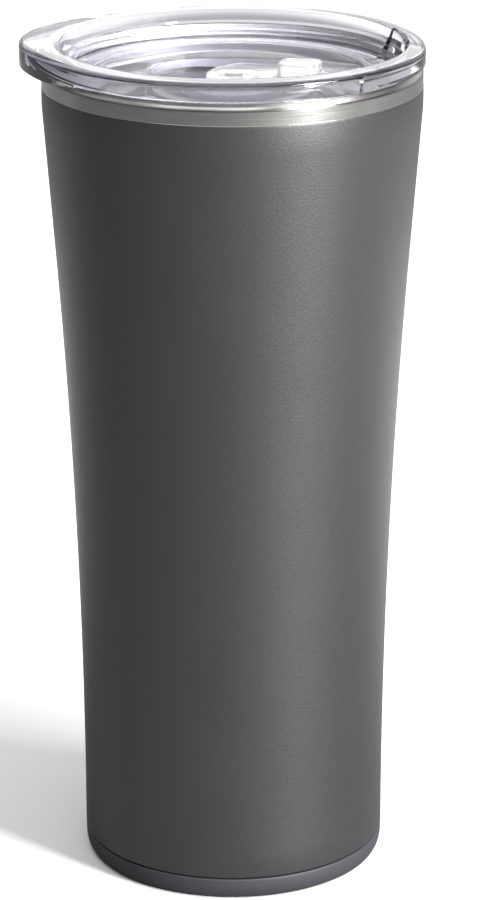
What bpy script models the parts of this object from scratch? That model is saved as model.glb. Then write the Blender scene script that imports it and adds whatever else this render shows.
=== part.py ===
"""Insulated tumbler with a clear press-in lid and a sliding closure.

A double-walled steel cup stands on a non-slip base. Its lid plugs into the mouth and
carries a slider that covers the drink hole. Metres, +Z up, origin at the centre of the
underside. The slider's track runs along X, with the drink hole at +X and the lift tab at -X.
"""

import bpy
import bmesh
from math import asin, cos, exp, pi, radians, sin, sqrt

# ---- driving dimensions ----
SEGMENTS = 64
GAP = 0.0003
CUT_OVER = 0.002
JOIN_DEPTH = 0.0005

FOOT_RADIUS = 0.0365
FLARE_START = 0.012
FLARE_END = 0.154
FLARE_TOP = 0.187
FLARE_SLOPE = 0.0765
RIM_TOP = 0.1965
SHELL_BOTTOM = 0.0056
SHELL_WALL = 0.0006
LIP_WALL = 0.0009
LIP_ROUND = 0.0011

LINER_WALL = 0.0005
LIP_INNER_RADIUS = 0.0426
NECK_TOP = 0.188
NECK_BOTTOM = 0.176
VACUUM_GAP = 0.003
LINER_SEAM = 0.017
CUP_FLOOR = 0.0116
CUP_FLOOR_WALL = 0.0006
CUP_CORNER = 0.004

BASE_TOP = 0.0052
BASE_FLAT_RADIUS = 0.0347
BASE_TRAY_RADIUS = 0.0335
BASE_THICKNESS = 0.0028
BASE_INSET = 0.00005
BASE_SIDE = 0.0012
BASE_ROUND = 0.004

PLATE_UNDERSIDE = 0.006
PLATE_WALL = 0.0006
PLATE_FLANGE_TOP = 0.0095
DIMPLE_RADIUS = 0.009
DIMPLE_RISE = 0.0013
EVACUATION_HOLE = 0.001
SEAL_RADIUS = 0.0028
SEAL_HEIGHT = 0.0016
GETTER_X = 0.018
GETTER_RADIUS = 0.004
GETTER_HEIGHT = 0.0013
CLIP_WIDTH = 0.004
CLIP_STEEL = 0.0004
CLIP_FOOT = 0.0025

LID_TOP = 0.2014
LID_FLOOR = 0.1944
LID_FLOOR_WALL = 0.0022
FLANGE_RADIUS = 0.04485
FLANGE_BOTTOM = RIM_TOP + GAP
FLANGE_ROUND = 0.0014
SHOULDER_DROP = 0.0004
RIM_ROUND = 0.0008
FLOOR_RING_INNER = 0.0304
FLOOR_RING_OUTER = 0.0332
WELL_CORNER_START = 0.0356
WELL_CORNER_MIDDLE = 0.0371
WELL_CORNER_RISES = (0.0002, 0.0006, 0.0014)
WELL_FOOT_RADIUS = 0.0377
WELL_TOP_RADIUS = 0.0403
PLUG_RADIUS = 0.0419
PLUG_BOTTOM = 0.189
SKIRT_INNER_RADIUS = 0.0396
PLUG_CHAMFER_WIDTH = 0.0005
PLUG_CHAMFER_HEIGHT = 0.001
TAB_REACH = 0.0056
TAB_SPREAD = radians(18.5)
TAB_DROP = 0.0016
TAB_DROP_START = radians(58)
TAB_DROP_FULL = radians(30)
TAB_INNER_RADIUS = 0.0447
TAB_WALL_LEAN = 0.00007

GROOVE_RADIUS = 0.0404
GROOVE_BOTTOM = 0.1932
GROOVE_TOP = 0.1956
GASKET_RADIUS = LIP_INNER_RADIUS - GAP
GASKET_ROOT_STEP = 0.0002

SPOUT_HALF_ANGLE = radians(33)
SPOUT_FOOT_RADIUS = 0.0388
SPOUT_TOP_RADIUS = 0.0411
SPOUT_INNER_RADIUS = 0.0325
SPOUT_CORNER = 0.001

CHANNEL_HALF_WIDTH = 0.0115
CHANNEL_END_X = -0.0073
CHANNEL_REACH = 0.0375
CHANNEL_FLOOR = 0.1914
CHANNEL_WALL = 0.0018
CHANNEL_SIDE_WALL = 0.0016
SLOT_HALF_WIDTH = 0.0018
DRINK_HOLE_X = 0.0314
DRINK_HOLE_LENGTH = 0.0078
DRINK_HOLE_WIDTH = 0.013
DRINK_HOLE_CORNER = 0.002

SLIDE_TRAVEL = 0.01
SLIDER_CLEARANCE = 0.00035
SLIDER_TOP = 0.1939
SLIDER_TIP_X = -0.006
SLIDER_TIP_RADIUS = 0.013
BUTTON_X = 0.001
BUTTON_RADIUS = 0.0052
BUTTON_RISE = 0.0006
GRIP_X = 0.016
GRIP_LENGTH = 0.0112
GRIP_WIDTH = 0.014
GRIP_RISE = 0.0034
GRIP_DRAFT = 0.0006
GRIP_CORNER = 0.0026
STEM_X = 0.0005
STEM_LENGTH = 0.0036
STEM_WIDTH = 0.003
RETAINER_SIZE = 0.009
RETAINER_HEIGHT = 0.0012
RETAINER_CORNER = 0.0015
BARB_HEIGHT = 0.0009
BARB_OVERHANG = 0.0007

for old in list(bpy.data.objects):
    bpy.data.objects.remove(old, do_unlink=True)

parts = bpy.data.collections.new("insulated_tumbler")
cutters = bpy.data.collections.new("cutters")
bpy.context.scene.collection.children.link(parts)
bpy.context.scene.collection.children.link(cutters)


# ---- helpers ----
def material(name, colour, roughness, metallic=0.0, alpha=1.0):
    """A plain Principled material."""
    mat = bpy.data.materials.new(name)
    mat.use_nodes = True
    shader = mat.node_tree.nodes["Principled BSDF"]
    shader.inputs["Base Color"].default_value = (*colour, 1.0)
    shader.inputs["Roughness"].default_value = roughness
    shader.inputs["Metallic"].default_value = metallic
    shader.inputs["Alpha"].default_value = alpha
    return mat


def add(name, mesh, mat=None):
    """A part of the tumbler, or a helper shape when it has no material."""
    obj = bpy.data.objects.new(name, mesh)
    if mat is None:
        cutters.objects.link(obj)
        obj.hide_render = True
        obj.display_type = "WIRE"
        return obj
    mesh.materials.append(mat)
    parts.objects.link(obj)
    return obj


def arc(centre, radius, start, end, steps):
    """Points on a round corner, from one angle to another in degrees."""
    turns = [radians(start + (end - start) * i / steps) for i in range(steps + 1)]
    return [(centre[0] + radius * cos(a), centre[1] + radius * sin(a)) for a in turns]


def turned(name, outline, mat, ring=True):
    """A (radius, height) outline turned about Z; it is closed when it is a ring."""
    count = len(outline)
    edges = [(i, i + 1) for i in range(count - 1)]
    if ring:
        edges.append((count - 1, 0))
    mesh = bpy.data.meshes.new(name)
    mesh.from_pydata([(r, 0, z) for r, z in outline], edges, [])
    obj = add(name, mesh, mat)
    screw = obj.modifiers.new("turn", "SCREW")
    screw.steps = SEGMENTS
    screw.render_steps = SEGMENTS
    screw.use_merge_vertices = True
    screw.merge_threshold = 0.00001
    screw.use_smooth_shade = True
    return obj


def frozen(obj):
    """Turns an object's modifiers into plain mesh, so that its points can be moved."""
    bpy.context.view_layer.update()
    graph = bpy.context.evaluated_depsgraph_get()
    mesh = bpy.data.meshes.new_from_object(obj.evaluated_get(graph))
    obj.modifiers.clear()
    obj.data = mesh
    return obj


def extruded(name, corners, reach, mat=None):
    """A flat outline of 3-D points drawn out along a vector into a solid."""
    bm = bmesh.new()
    face = bm.faces.new([bm.verts.new(corner) for corner in corners])
    drawn = bmesh.ops.extrude_face_region(bm, geom=[face])["geom"]
    far = [v for v in drawn if isinstance(v, bmesh.types.BMVert)]
    bmesh.ops.translate(bm, verts=far, vec=reach)
    bmesh.ops.recalc_face_normals(bm, faces=bm.faces)
    mesh = bpy.data.meshes.new(name)
    bm.to_mesh(mesh)
    bm.free()
    return add(name, mesh, mat)


def prism(name, outline, low, high, mat=None):
    """A flat (x, y) outline raised from low to high."""
    return extruded(name, [(x, y, low) for x, y in outline], (0, 0, high - low), mat)


def boolean(obj, other, operation):
    """Cuts another shape from the object, or joins it on."""
    step = obj.modifiers.new(other.name, "BOOLEAN")
    step.operation = operation
    step.object = other


def shade(obj, angle=30):
    """Smooth shading, with edges sharper than the angle kept crisp."""
    obj.data.shade_smooth()
    obj.data.set_sharp_from_angle(angle=radians(angle))


def box(name, centre, size, low, high):
    """A plain upright block used to join or to cut."""
    half_x, half_y = size[0] / 2, size[1] / 2
    corners = [(-1, -1), (1, -1), (1, 1), (-1, 1)]
    outline = [(centre[0] + half_x * i, centre[1] + half_y * j) for i, j in corners]
    return prism(name, outline, low, high)


def shell_radius(z):
    """Outside radius of the cup: straight foot, growing flare, straight lip."""
    bend = min(max(z - FLARE_START, 0), FLARE_END - FLARE_START)
    rise = bend**2 / (2 * (FLARE_END - FLARE_START))
    straight = min(max(z - FLARE_END, 0), FLARE_TOP - FLARE_END)
    return FOOT_RADIUS + FLARE_SLOPE * (rise + straight)


def wall(low, high, steps, inset, rising=False):
    """Points on the flared wall, a given distance inside the outer surface."""
    heights = [high + (low - high) * i / steps for i in range(steps + 1)]
    if rising:
        heights.reverse()
    return [(shell_radius(z) - inset, z) for z in heights]


# ---- the steel cup ----
def make_outer_shell():
    """Outer wall, powder coated below its bare brushed lip."""
    coat = material("powder_coat", (0.055, 0.056, 0.06), 0.55, 0.2)
    lip = shell_radius(RIM_TOP)
    outline = arc((lip - LIP_ROUND, RIM_TOP - LIP_ROUND), LIP_ROUND, 80, 0, 4)
    outline += wall(FLARE_START, FLARE_TOP, 12, 0)
    outline += [(FOOT_RADIUS, SHELL_BOTTOM), (FOOT_RADIUS - SHELL_WALL, SHELL_BOTTOM)]
    outline += wall(FLARE_START, NECK_BOTTOM, 9, SHELL_WALL, rising=True)
    outline += [(lip - LIP_WALL, NECK_TOP), (lip - LIP_WALL, RIM_TOP)]
    turned("outer_shell", outline, coat)


def make_inner_liner():
    """Inner wall: it meets the shell at the lip and draws in below to leave the vacuum."""
    steel = material("brushed_steel", (0.62, 0.61, 0.59), 0.3, 1.0)
    lip = shell_radius(RIM_TOP) - LIP_WALL - GAP
    depth = SHELL_WALL + VACUUM_GAP
    outline = [(lip, RIM_TOP), (lip, NECK_TOP)]
    outline += wall(LINER_SEAM, NECK_BOTTOM, 8, depth)
    outline += wall(LINER_SEAM, NECK_BOTTOM, 8, depth + LINER_WALL, rising=True)
    outline += [(LIP_INNER_RADIUS, NECK_TOP), (LIP_INNER_RADIUS, RIM_TOP - 2 * GAP)]
    turned("inner_liner", outline, steel)


def make_inner_bottom():
    """Pressed dish that closes the liner's foot."""
    steel = material("liner_floor_steel", (0.6, 0.59, 0.57), 0.32, 1.0)
    outer = shell_radius(LINER_SEAM) - SHELL_WALL - VACUUM_GAP
    inner = outer - LINER_WALL
    bend = CUP_CORNER - LINER_WALL
    outline = [(0, CUP_FLOOR), (inner - bend, CUP_FLOOR)]
    outline += arc((inner - bend, CUP_FLOOR + bend), bend, -72, 0, 4)
    outline += [(inner, LINER_SEAM - GAP), (outer, LINER_SEAM - GAP)]
    outline += arc((outer - CUP_CORNER, CUP_FLOOR + bend), CUP_CORNER, 0, -72, 4)
    outline += [(outer - CUP_CORNER, CUP_FLOOR - CUP_FLOOR_WALL), (0, CUP_FLOOR - CUP_FLOOR_WALL)]
    turned("inner_bottom", outline, steel, ring=False)


def make_vacuum_bottom():
    """Plate welded into the shell's foot, with the hole that the air is drawn out through."""
    steel = material("plate_steel", (0.5, 0.5, 0.49), 0.4, 1.0)
    edge = FOOT_RADIUS - SHELL_WALL - GAP
    top = PLATE_UNDERSIDE + PLATE_WALL
    slope = DIMPLE_RADIUS + DIMPLE_RISE
    outline = [(EVACUATION_HOLE, top + DIMPLE_RISE), (DIMPLE_RADIUS, top + DIMPLE_RISE)]
    outline += [(slope, top), (edge - PLATE_WALL, top), (edge - PLATE_WALL, PLATE_FLANGE_TOP)]
    outline += [(edge, PLATE_FLANGE_TOP), (edge, PLATE_UNDERSIDE), (slope, PLATE_UNDERSIDE)]
    outline += [(DIMPLE_RADIUS, PLATE_UNDERSIDE + DIMPLE_RISE)]
    outline += [(EVACUATION_HOLE, PLATE_UNDERSIDE + DIMPLE_RISE)]
    turned("vacuum_bottom", outline, steel)


def make_vacuum_seal():
    """Solder bead that plugs the evacuation hole from below."""
    solder = material("solder", (0.55, 0.55, 0.56), 0.35, 1.0)
    top = PLATE_UNDERSIDE + DIMPLE_RISE - GAP
    round_start = SEAL_RADIUS - SEAL_HEIGHT
    outline = [(0, top), (SEAL_RADIUS, top)]
    outline += arc((round_start, top), SEAL_HEIGHT, -18, -72, 3)
    outline += [(0, top - SEAL_HEIGHT)]
    turned("vacuum_seal", outline, solder, ring=False)


def make_getter():
    """Pill that mops up stray gas, clipped to the top of the plate."""
    grey = material("getter_metal", (0.16, 0.16, 0.17), 0.7, 0.6)
    low = PLATE_UNDERSIDE + PLATE_WALL + GAP
    bm = bmesh.new()
    bmesh.ops.create_cone(
        bm, cap_ends=True, segments=32, radius1=GETTER_RADIUS, radius2=GETTER_RADIUS, depth=GETTER_HEIGHT
    )
    bmesh.ops.translate(bm, verts=bm.verts, vec=(GETTER_X, 0, low + GETTER_HEIGHT / 2))
    mesh = bpy.data.meshes.new("getter")
    bm.to_mesh(mesh)
    bm.free()
    shade(add("getter", mesh, grey))


def make_getter_clip():
    """Spring strap bent over the pill, spot welded to the plate at both feet."""
    steel = material("clip_steel", (0.55, 0.55, 0.54), 0.35, 1.0)
    low = PLATE_UNDERSIDE + PLATE_WALL + GAP
    high = low + GETTER_HEIGHT + GAP
    step = GETTER_RADIUS + 2 * GAP
    foot = step + CLIP_FOOT
    under = [(-foot, low), (-step, low), (-step, high), (step, high), (step, low), (foot, low)]
    bend = step + CLIP_STEEL
    low += CLIP_STEEL
    high += CLIP_STEEL
    over = [(foot, low), (bend, low), (bend, high), (-bend, high), (-bend, low), (-foot, low)]
    corners = [(GETTER_X + x, -CLIP_WIDTH / 2, z) for x, z in under + over]
    extruded("getter_clip", corners, (0, CLIP_WIDTH, 0), steel)


def make_base_pad():
    """Non-slip base: a shallow tray glued under the foot, rounded at its lower edge."""
    rubber = material("base_rubber", (0.06, 0.061, 0.066), 0.7)
    side = FOOT_RADIUS - BASE_INSET
    low = BASE_TOP - BASE_SIDE
    bend = side - BASE_FLAT_RADIUS
    outline = [(0, BASE_THICKNESS), (BASE_TRAY_RADIUS, BASE_THICKNESS)]
    outline += [(BASE_TRAY_RADIUS, BASE_TOP), (side, BASE_TOP), (side, low)]
    turns = [radians(30), radians(60), radians(90)]
    outline += [(side - bend * (1 - cos(a)), low - BASE_ROUND * sin(a)) for a in turns]
    outline += [(0, 0)]
    turned("base_pad", outline, rubber, ring=False)


# ---- the lid ----
def lid_outline():
    """Half section of the lid: floor, well wall, rim, plug with its gasket groove, underside."""
    ring_floor = LID_FLOOR - GAP
    outline = [(0, LID_FLOOR), (FLOOR_RING_INNER, LID_FLOOR), (FLOOR_RING_INNER + GAP, ring_floor)]
    outline += [(FLOOR_RING_OUTER - GAP, ring_floor), (FLOOR_RING_OUTER, LID_FLOOR)]
    corner = (WELL_CORNER_START, WELL_CORNER_MIDDLE, WELL_FOOT_RADIUS)
    outline += [(r, LID_FLOOR + rise) for r, rise in zip(corner, WELL_CORNER_RISES)]
    outline += [(WELL_TOP_RADIUS - RIM_ROUND, LID_TOP - 2 * RIM_ROUND)]
    outline += [(WELL_TOP_RADIUS - RIM_ROUND / 2, LID_TOP - RIM_ROUND / 3), (WELL_TOP_RADIUS, LID_TOP)]
    shoulder = (FLANGE_RADIUS - FLANGE_ROUND, LID_TOP - SHOULDER_DROP - FLANGE_ROUND)
    outline += arc(shoulder, FLANGE_ROUND, 90, 0, 4)
    outline += [(FLANGE_RADIUS, FLANGE_BOTTOM), (TAB_INNER_RADIUS + TAB_WALL_LEAN, FLANGE_BOTTOM)]
    outline += [(TAB_INNER_RADIUS, FLANGE_BOTTOM), (PLUG_RADIUS, FLANGE_BOTTOM)]
    outline += [(PLUG_RADIUS, GROOVE_TOP)]
    outline += [(GROOVE_RADIUS, GROOVE_TOP), (GROOVE_RADIUS, GROOVE_BOTTOM)]
    outline += [(PLUG_RADIUS, GROOVE_BOTTOM), (PLUG_RADIUS, PLUG_BOTTOM + PLUG_CHAMFER_HEIGHT)]
    outline += [(PLUG_RADIUS - PLUG_CHAMFER_WIDTH, PLUG_BOTTOM), (SKIRT_INNER_RADIUS, PLUG_BOTTOM)]
    under = LID_FLOOR - LID_FLOOR_WALL
    outline += [(SKIRT_INNER_RADIUS - GAP, under), (0, under)]
    return outline


def pull_tab(mesh):
    """Draws the flange out into the lift tab at -X, and thickens it downward outside the lip."""
    tiny = GAP / 10
    for point in mesh.vertices:
        radius = sqrt(point.co.x**2 + point.co.y**2)
        if radius <= PLUG_RADIUS or point.co.z < FLANGE_BOTTOM - GAP:
            continue
        away = abs(asin(max(-1.0, min(1.0, point.co.y / radius))))
        if point.co.x > 0:
            away = pi - away
        underside = point.co.z < FLANGE_BOTTOM + tiny
        if underside and radius > TAB_INNER_RADIUS + tiny:
            turn = (TAB_DROP_START - away) / (TAB_DROP_START - TAB_DROP_FULL)
            turn = max(0.0, min(1.0, turn))
            point.co.z -= TAB_DROP * turn**2 * (3 - 2 * turn)
        if underside and radius < FLANGE_RADIUS - tiny:
            continue
        share = min(1.0, (radius - PLUG_RADIUS) / (FLANGE_RADIUS - FLANGE_ROUND - PLUG_RADIUS))
        reach = 1 + share * TAB_REACH * exp(-((away / TAB_SPREAD) ** 2) / 2) / radius
        point.co.x *= reach
        point.co.y *= reach


def channel_outline(inset, tip=None):
    """Track seen from above: round at -X, following the well's wall at +X."""
    half = CHANNEL_HALF_WIDTH - inset
    reach = CHANNEL_REACH - inset
    swing = asin(half / reach) * 180 / pi
    outline = arc((0, 0), reach, -swing, swing, 6)
    if tip is None:
        return outline + arc((CHANNEL_END_X, 0), half, 90, 270, 14)
    turn = asin(half / SLIDER_TIP_RADIUS) * 180 / pi
    centre = tip + SLIDER_TIP_RADIUS
    return outline + arc((centre, 0), SLIDER_TIP_RADIUS, 180 - turn, 180 + turn, 12)


def rounded_rectangle(centre_x, length, width, corner):
    """A rectangle with round corners, counter-clockwise from above."""
    x, y = length / 2 - corner, width / 2 - corner
    corners = [(x, -y, -90), (x, y, 0), (-x, y, 90), (-x, -y, 180)]
    outline = []
    for i, j, start in corners:
        outline += arc((centre_x + i, j), corner, start, start + 90, 4)
    return outline


def make_spout_cutter():
    """Sector that scoops the well's wall outward on the drinking side."""
    top = LID_TOP + CUT_OVER
    outline = [(SPOUT_INNER_RADIUS, LID_FLOOR), (SPOUT_FOOT_RADIUS - SPOUT_CORNER, LID_FLOOR)]
    outline += [(SPOUT_FOOT_RADIUS, LID_FLOOR + SPOUT_CORNER), (SPOUT_TOP_RADIUS, top)]
    outline += [(SPOUT_INNER_RADIUS, top)]
    bm = bmesh.new()
    start = [(r * cos(SPOUT_HALF_ANGLE), -r * sin(SPOUT_HALF_ANGLE), z) for r, z in outline]
    face = bm.faces.new([bm.verts.new(p) for p in start])
    geometry = [face, *face.edges, *face.verts]
    bmesh.ops.spin(
        bm, geom=geometry, cent=(0, 0, 0), axis=(0, 0, 1), angle=2 * SPOUT_HALF_ANGLE, steps=12
    )
    bmesh.ops.recalc_face_normals(bm, faces=bm.faces)
    mesh = bpy.data.meshes.new("spout_cutter")
    bm.to_mesh(mesh)
    bm.free()
    return add("spout_cutter", mesh)


def make_lid_body():
    """Clear moulded lid with the sunk track for the slider."""
    clear = material("clear_plastic", (0.8, 0.8, 0.83), 0.05, 0.0, 0.35)
    lid = frozen(turned("lid_body", lid_outline(), clear, ring=False))
    pull_tab(lid.data)
    tub_low = CHANNEL_FLOOR - CHANNEL_WALL
    joint = LID_FLOOR - LID_FLOOR_WALL / 2
    boolean(lid, prism("track_tub", channel_outline(-CHANNEL_SIDE_WALL), tub_low, joint), "UNION")
    boolean(lid, make_spout_cutter(), "DIFFERENCE")
    boolean(lid, prism("track", channel_outline(0), CHANNEL_FLOOR, LID_TOP), "DIFFERENCE")
    slot_x = STEM_X - SLIDE_TRAVEL / 2
    slot_length = STEM_LENGTH + SLIDE_TRAVEL + 2 * GAP
    slot_size = (slot_length, 2 * SLOT_HALF_WIDTH)
    slot = box("guide_slot", (slot_x, 0), slot_size, tub_low - CUT_OVER, LID_TOP)
    boolean(lid, slot, "DIFFERENCE")
    mouth = rounded_rectangle(DRINK_HOLE_X, DRINK_HOLE_LENGTH, DRINK_HOLE_WIDTH, DRINK_HOLE_CORNER)
    boolean(lid, prism("drink_hole", mouth, tub_low - CUT_OVER, LID_TOP), "DIFFERENCE")
    shade(frozen(lid))


def make_lid_gasket():
    """Silicone ring in the plug's groove; in use its fins press on the liner."""
    silicone = material("silicone", (0.85, 0.85, 0.86), 0.35, 0.0, 0.6)
    inner = GROOVE_RADIUS + GAP
    low = GROOVE_BOTTOM + GAP
    high = GROOVE_TOP - GAP
    mid = (low + high) / 2
    root = PLUG_RADIUS - GASKET_ROOT_STEP
    outline = [(inner, high), (root, high), (GASKET_RADIUS, high - GAP), (root, mid)]
    outline += [(GASKET_RADIUS, low + GAP), (root, low), (inner, low)]
    turned("lid_gasket", outline, silicone)


def make_slider():
    """Closure: a plate in the track with a button, a thumb grip and a stem through the slot."""
    clear = material("slider_plastic", (0.86, 0.87, 0.88), 0.05, 0.0, 0.4)
    low = CHANNEL_FLOOR + GAP
    slider = prism("slider", channel_outline(SLIDER_CLEARANCE, SLIDER_TIP_X), low, SLIDER_TOP, clear)
    button = arc((BUTTON_X, 0), BUTTON_RADIUS, 0, 360 - 360 / 28, 27)
    sunk = SLIDER_TOP - JOIN_DEPTH
    boolean(slider, prism("button", button, sunk, SLIDER_TOP + BUTTON_RISE), "UNION")
    foot = rounded_rectangle(GRIP_X, GRIP_LENGTH, GRIP_WIDTH, GRIP_CORNER)
    grip = prism("grip", foot, sunk, SLIDER_TOP + GRIP_RISE)
    for point in grip.data.vertices:
        if point.co.z > SLIDER_TOP:
            point.co.x -= GRIP_DRAFT * (point.co.x - GRIP_X) / (GRIP_LENGTH / 2)
            point.co.y -= GRIP_DRAFT * point.co.y / (GRIP_WIDTH / 2)
    boolean(slider, grip, "UNION")
    under = CHANNEL_FLOOR - CHANNEL_WALL
    stem_end = under - 2 * GAP - RETAINER_HEIGHT - BARB_HEIGHT
    stem = box("stem", (STEM_X, 0), (STEM_LENGTH, STEM_WIDTH), stem_end, low + JOIN_DEPTH)
    boolean(slider, stem, "UNION")
    barb_size = (STEM_LENGTH + 2 * BARB_OVERHANG, STEM_WIDTH)
    barb = box("barb", (STEM_X, 0), barb_size, stem_end, stem_end + BARB_HEIGHT)
    boolean(slider, barb, "UNION")
    shade(frozen(slider))


def make_slider_retainer():
    """Clip pushed on the stem from below, which keeps the slider in its track."""
    clear = material("retainer_plastic", (0.84, 0.85, 0.87), 0.1, 0.0, 0.5)
    high = CHANNEL_FLOOR - CHANNEL_WALL - GAP
    outline = rounded_rectangle(STEM_X, RETAINER_SIZE, RETAINER_SIZE, RETAINER_CORNER)
    low = high - RETAINER_HEIGHT
    clip = prism("slider_retainer", outline, low, high, clear)
    hole_size = (STEM_LENGTH + 2 * GAP, STEM_WIDTH + 2 * GAP)
    hole = box("stem_hole", (STEM_X, 0), hole_size, low - CUT_OVER, high + CUT_OVER)
    boolean(clip, hole, "DIFFERENCE")
    shade(frozen(clip))


make_outer_shell()
make_inner_liner()
make_inner_bottom()
make_vacuum_bottom()
make_vacuum_seal()
make_getter()
make_getter_clip()
make_base_pad()
make_lid_body()
make_lid_gasket()
make_slider()
make_slider_retainer()
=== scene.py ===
from math import asin, cos, degrees, exp, pi, radians, sin, sqrt

import bmesh
import bpy
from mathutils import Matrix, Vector


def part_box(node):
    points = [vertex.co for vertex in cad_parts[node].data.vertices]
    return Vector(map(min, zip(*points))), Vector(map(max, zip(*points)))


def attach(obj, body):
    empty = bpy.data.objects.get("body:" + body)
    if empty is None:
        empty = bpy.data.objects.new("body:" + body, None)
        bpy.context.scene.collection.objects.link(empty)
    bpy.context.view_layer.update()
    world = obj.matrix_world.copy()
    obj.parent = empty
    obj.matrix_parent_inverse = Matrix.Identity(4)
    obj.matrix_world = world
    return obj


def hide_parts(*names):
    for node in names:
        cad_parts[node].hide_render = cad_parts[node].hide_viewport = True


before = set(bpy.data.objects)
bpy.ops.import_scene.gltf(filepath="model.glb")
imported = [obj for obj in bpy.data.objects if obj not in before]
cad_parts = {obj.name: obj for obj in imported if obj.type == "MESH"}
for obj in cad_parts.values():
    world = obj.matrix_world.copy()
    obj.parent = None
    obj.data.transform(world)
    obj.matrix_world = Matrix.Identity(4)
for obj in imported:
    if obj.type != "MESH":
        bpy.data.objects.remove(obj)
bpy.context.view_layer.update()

# ---------------------------------------------------------------------------------------
# Outer shell. One drawn stainless tube, straight at the foot, flaring to the lip. It is
# powder coated dark grey up to a masked line, and left bare and brushed above it. It is a
# section swept round the axis, which is how the real one is spun.

SHELL_LOW, SHELL_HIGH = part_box("outer_shell")
RIM_TOP = SHELL_HIGH.z
LIP_RADIUS = SHELL_HIGH.x
SHELL_FOOT = SHELL_LOW.z
FOOT_RADIUS = 0.0365
FLARE_START, FLARE_END, FLARE_TOP = 0.012, 0.154, 0.187
FLARE_SLOPE = 0.0765
PAINT_LINE = 0.19144
PAINT_FILM = 0.00007
SHELL_WALL, LIP_WALL = 0.0006, 0.0009
LIP_BEVEL_WIDTH, LIP_BEVEL_HEIGHT = 0.0011, 0.0015
NECK_TOP, NECK_BOTTOM = 0.188, 0.176
OUTER_STEPS, INNER_STEPS, TURN_STEPS = 60, 30, 192
SHELL_FOOT_ROUND = 0.00028
PAINT_EDGE_ABOVE, PAINT_EDGE_BELOW = 0.00004, 0.00008
PAINT_SUPPORT = 0.0006
INNER_LIP_DROP = 0.0001
SHARP_STEEL = radians(40)
MERGE_DISTANCE = 0.000002

# The lip's bevel, as shares of its width in from the side and of its height down.
LIP_BEVEL = ((1, 0), (0.92, 0.03), (0.82, 0.12), (0.12, 0.88), (0.04, 1), (0, 1.15), (0, 1.4))


def shell_radius(z):
    """Outside radius of the cup at a height."""
    bend = min(max(z - FLARE_START, 0), FLARE_END - FLARE_START)
    straight = min(max(z - FLARE_END, 0), FLARE_TOP - FLARE_END)
    return FOOT_RADIUS + FLARE_SLOPE * (bend**2 / (2 * (FLARE_END - FLARE_START)) + straight)


def wall(start, end, steps, inset):
    """Section points on the flared wall, an inset inside its outer face."""
    heights = [start + (end - start) * i / steps for i in range(steps + 1)]
    return [(shell_radius(z) - inset, z) for z in heights]


def arc(centre, radius, start, end, steps):
    """Section points on a round corner, from one angle to another in degrees."""
    turns = [radians(start + (end - start) * i / steps) for i in range(steps + 1)]
    return [(centre[0] + radius * cos(a), centre[1] + radius * sin(a)) for a in turns]


def mesh_object(name, mesh):
    """A new object on the scene, at the origin."""
    obj = bpy.data.objects.new(name, mesh)
    bpy.context.scene.collection.objects.link(obj)
    return obj


def evaluated_mesh(obj):
    """A plain mesh of the object as its modifiers leave it."""
    bpy.context.view_layer.update()
    graph = bpy.context.evaluated_depsgraph_get()
    return bpy.data.meshes.new_from_object(obj.evaluated_get(graph))


def apply_modifiers(obj):
    """Swaps the object's mesh for the evaluated one and drops its modifiers."""
    mesh = evaluated_mesh(obj)
    obj.modifiers.clear()
    obj.data = mesh
    return obj


def mend(mesh):
    """Merges doubles and turns every face outward."""
    bm = bmesh.new()
    bm.from_mesh(mesh)
    bmesh.ops.remove_doubles(bm, verts=bm.verts, dist=MERGE_DISTANCE)
    bmesh.ops.recalc_face_normals(bm, faces=bm.faces)
    bm.to_mesh(mesh)
    bm.free()


def new_tree(name, kind):
    """A node group with its input and output nodes."""
    tree = bpy.data.node_groups.new(name, kind)
    return tree, tree.nodes.new("NodeGroupInput"), tree.nodes.new("NodeGroupOutput")


def socket(tree, name, kind, value=None, out=False):
    """A named socket on a node group, with its default."""
    side = "OUTPUT" if out else "INPUT"
    made = tree.interface.new_socket(name=name, in_out=side, socket_type=kind)
    if value is not None:
        made.default_value = value
    return made


def set_inputs(obj, tree, values):
    """Runs a geometry tree on the object and fills its inputs by their names."""
    modifier = obj.modifiers.new(tree.name, "NODES")
    modifier.node_group = tree
    for item in tree.interface.items_tree:
        if item.item_type == "SOCKET" and item.in_out == "INPUT" and item.name in values:
            modifier[item.identifier] = values[item.name]


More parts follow.
